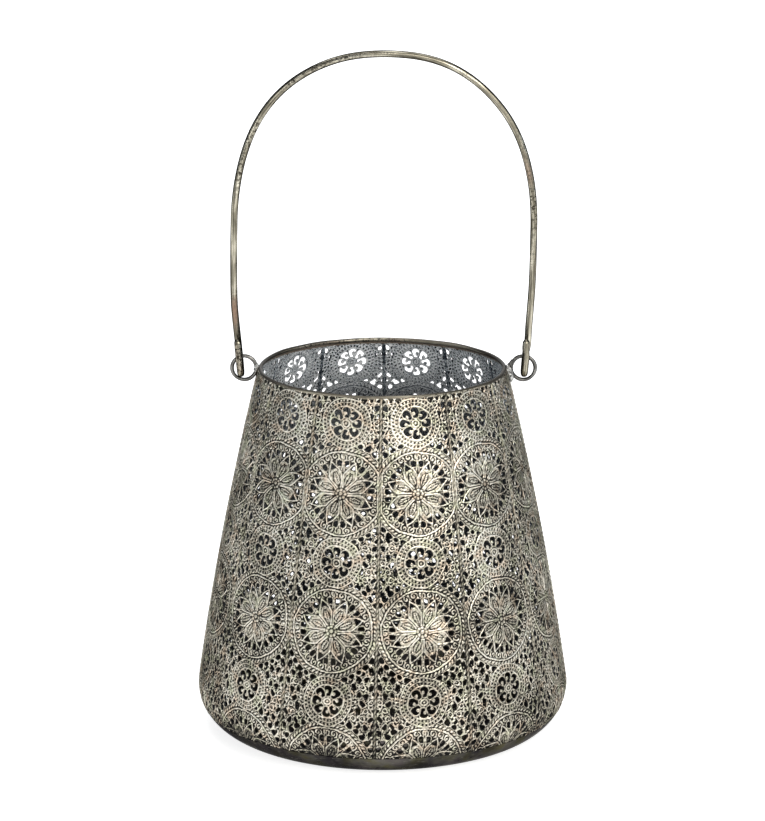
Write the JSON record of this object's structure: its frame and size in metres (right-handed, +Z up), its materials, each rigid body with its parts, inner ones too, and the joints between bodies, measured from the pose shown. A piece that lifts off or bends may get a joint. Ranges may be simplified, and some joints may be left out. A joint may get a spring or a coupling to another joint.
{
  "type": "hanging candle lantern",
  "caption": "Open-topped pierced metal candle lantern, a rounded bucket of filigree gores with a dished base and a swinging wire bail",
  "frame": {"origin": "centre of the base, on the plane the lantern stands on", "axes": "+Z up through the mouth, +X towards the right-hand ear when seen from the front, -Y the front"},
  "size_m": [0.1806, 0.1806, 0.3315],
  "materials": {
    "filigree": "antiqued, dark recesses and rubbed champagne relief",
    "seam": "antiqued",
    "base_pan": "dark satin",
    "mouth_hoop": "dark bronze patina",
    "ear_wire": "dark bronze patina",
    "solder": "dull solder",
    "bail_wire": "mottled antique brass"
  },
  "bodies": {
    "lantern_body": {"gore_01": "filigree", "gore_02": "filigree", "gore_03": "filigree", "gore_04": "filigree", "gore_05": "filigree", "gore_06": "filigree", "gore_07": "filigree", "gore_08": "filigree", "gore_09": "filigree", "gore_10": "filigree", "gore_11": "filigree", "gore_12": "filigree", "seam_strip_01": "seam", "seam_strip_02": "seam", "seam_strip_03": "seam", "seam_strip_04": "seam", "seam_strip_05": "seam", "seam_strip_06": "seam", "seam_strip_07": "seam", "seam_strip_08": "seam", "seam_strip_09": "seam", "seam_strip_10": "seam", "seam_strip_11": "seam", "seam_strip_12": "seam", "base_pan": "base_pan", "mouth_hoop": "mouth_hoop", "ear_ring_left": "ear_wire", "ear_ring_right": "ear_wire", "ear_solder_left": "solder", "ear_solder_right": "solder"},
    "handle": {"bail": "bail_wire"}
  },
  "joints": [
    {"name": "bail_swing", "type": "hinge", "parent": "lantern_body", "child": "handle", "pos_m": [0, 0, 0.18366], "axis": [1, 0, 0], "range_deg": [-143.5, 143.5]}
  ]
}
